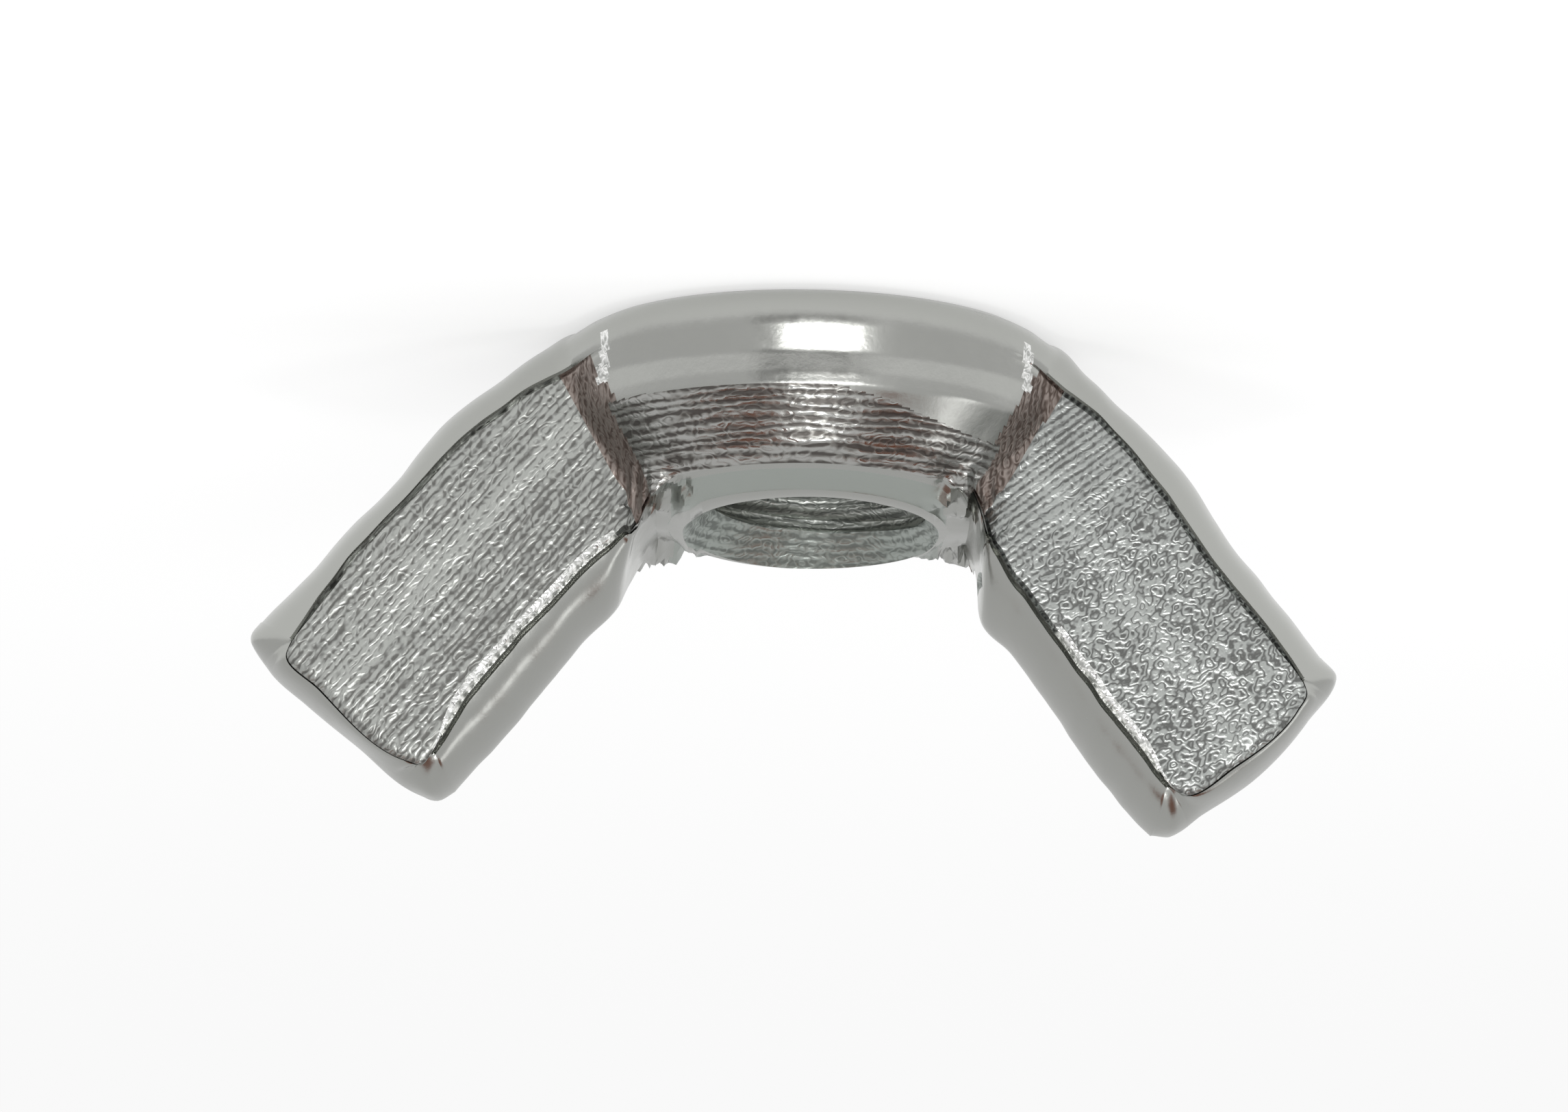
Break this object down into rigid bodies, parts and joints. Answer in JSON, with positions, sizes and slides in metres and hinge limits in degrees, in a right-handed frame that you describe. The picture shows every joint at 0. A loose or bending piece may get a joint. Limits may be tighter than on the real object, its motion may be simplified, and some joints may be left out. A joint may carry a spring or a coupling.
{
  "type": "wing nut",
  "caption": "Forged wing nut: a conical threaded hub on a flat bearing face with two thick wings slanting up and outwards for tightening by finger and thumb.",
  "frame": {"origin": "centre of the bearing face, on the thread's axis", "axes": "+Z along the thread from the bearing face towards the wings; the wings spread along X; Y goes through the thickness of the wings"},
  "size_m": [0.028, 0.0126, 0.0126],
  "materials": {
    "zinc_plated_steel": "bright zinc plate over cold-forged steel: coarse drawn grain on the struck wing faces and the hub's cone, smooth rounded free edges"
  },
  "bodies": {
    "root": {"nut_body": "zinc_plated_steel"}
  },
  "joints": []
}
